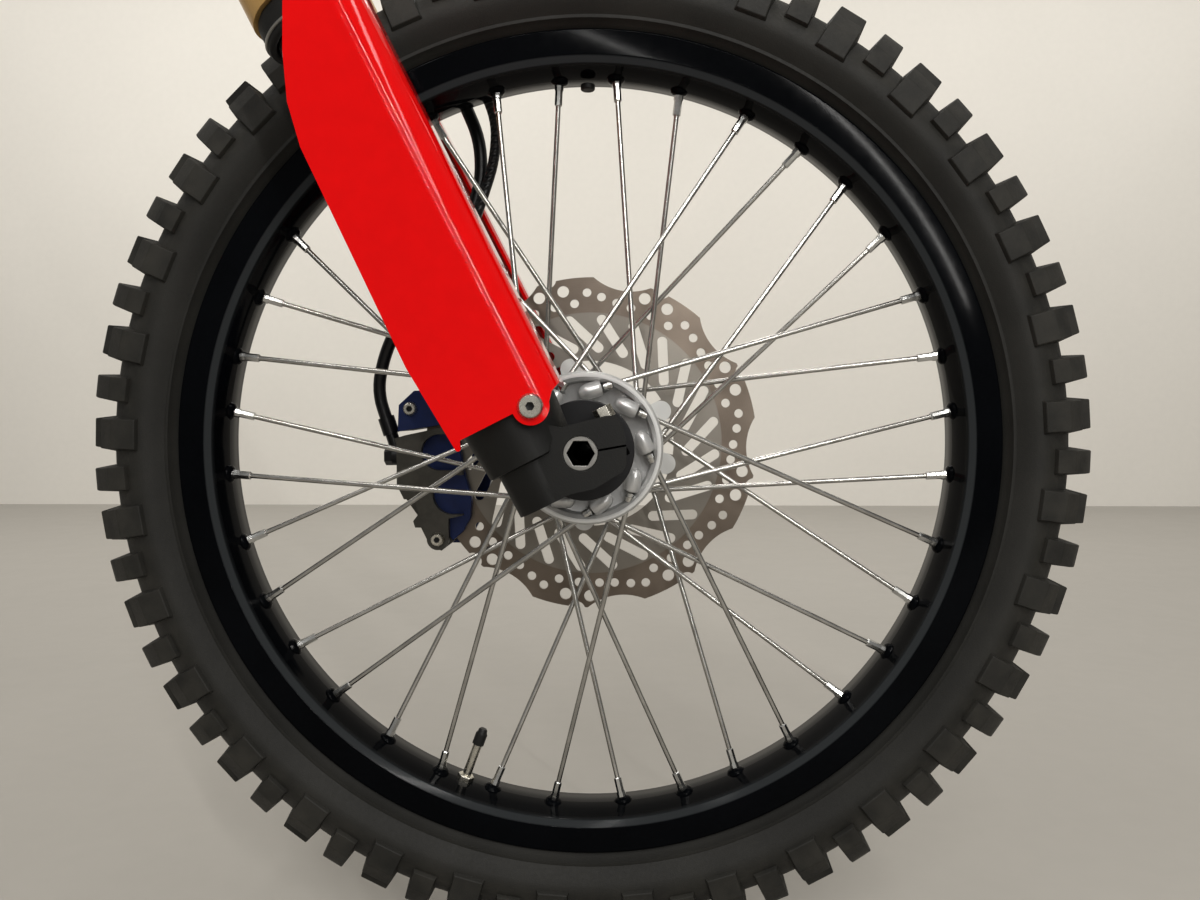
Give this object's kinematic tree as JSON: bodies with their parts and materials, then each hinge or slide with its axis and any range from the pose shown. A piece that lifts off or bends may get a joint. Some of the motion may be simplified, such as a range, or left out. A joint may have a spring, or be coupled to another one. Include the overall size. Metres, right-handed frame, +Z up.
{
  "type": "motorcycle front wheel and fork assembly",
  "caption": "Front end of a trail motorcycle: laced wheel with block tyre turning in an upside-down fork, with clamps, stem, leg guards, waved brake disc, caliper and hose.",
  "frame": {"origin": "centre of the lower bearing seat on the steering stem", "axes": "+X forward, +Y to the rider's left along the axle, +Z up; the stem leans 26.8 degrees back from +Z"},
  "size_m": [0.8199, 0.295, 1.1533],
  "materials": {
    "axle_steel": "machined",
    "bearing_steel": "ground",
    "bolt_zinc": "zinc plated",
    "bracket_blue": "satin dark blue",
    "caliper_grey": "grey hard anodised",
    "clamp_black": "satin black anodised",
    "disc_steel": "ground stainless",
    "foot_black": "satin powder coat",
    "guard_red": "gloss",
    "hose_black": "satin",
    "hub_alloy": "bare machined and cast alloy",
    "inner_chrome": "hard chrome",
    "nipple_silver": "nickel plated",
    "outer_gold": "satin gold anodised",
    "rim_black": "gloss black anodised",
    "seal_rubber": "matt",
    "spacer_dark": "satin anodised",
    "spoke_steel": "drawn stainless wire",
    "tyre": "matt moulded rubber",
    "valve_cap": "matt"
  },
  "bodies": {
    "fork": {"axle": "axle_steel", "axle_nut": "bolt_zinc", "axle_spacer_left": "spacer_dark", "axle_spacer_right": "spacer_dark", "brake_hose": "hose_black", "brake_pads": "bracket_blue", "caliper": "caliper_grey", "caliper_bolts": "bolt_zinc", "caliper_bracket": "bracket_blue", "caliper_pins": "bolt_zinc", "clamp_bolts": "bolt_zinc", "dust_seal_left": "seal_rubber", "dust_seal_right": "seal_rubber", "fork_cap_left": "clamp_black", "fork_cap_right": "clamp_black", "fork_foot_left": "foot_black", "fork_foot_right": "foot_black", "guard_bolts": "bolt_zinc", "guard_left": "guard_red", "guard_right": "guard_red", "hose_clip": "hose_black", "hose_fittings": "bolt_zinc", "inner_tube_left": "inner_chrome", "inner_tube_right": "inner_chrome", "lower_clamp": "clamp_black", "outer_tube_left": "outer_gold", "outer_tube_right": "outer_gold", "pinch_bolts": "bolt_zinc", "sensor_wire": "hose_black", "speed_sensor": "hose_black", "stem": "axle_steel", "stem_nut": "bolt_zinc", "upper_clamp": "clamp_black"},
    "wheel": {"tyre": "tyre", "rim": "rim_black", "spokes_right": "spoke_steel", "spokes_left": "spoke_steel", "nipples": "nipple_silver", "hub": "hub_alloy", "wheel_bearings": "bearing_steel", "hub_seals": "seal_rubber", "brake_disc": "disc_steel", "disc_bolts": "bolt_zinc", "valve": "valve_cap", "rim_plug": "seal_rubber"}
  },
  "joints": [
    {"name": "wheel_spin", "type": "hinge", "parent": "fork", "child": "wheel", "pos_m": [0.36024, 0, -0.60227], "axis": [0, 1, 0], "continuous": true}
  ]
}
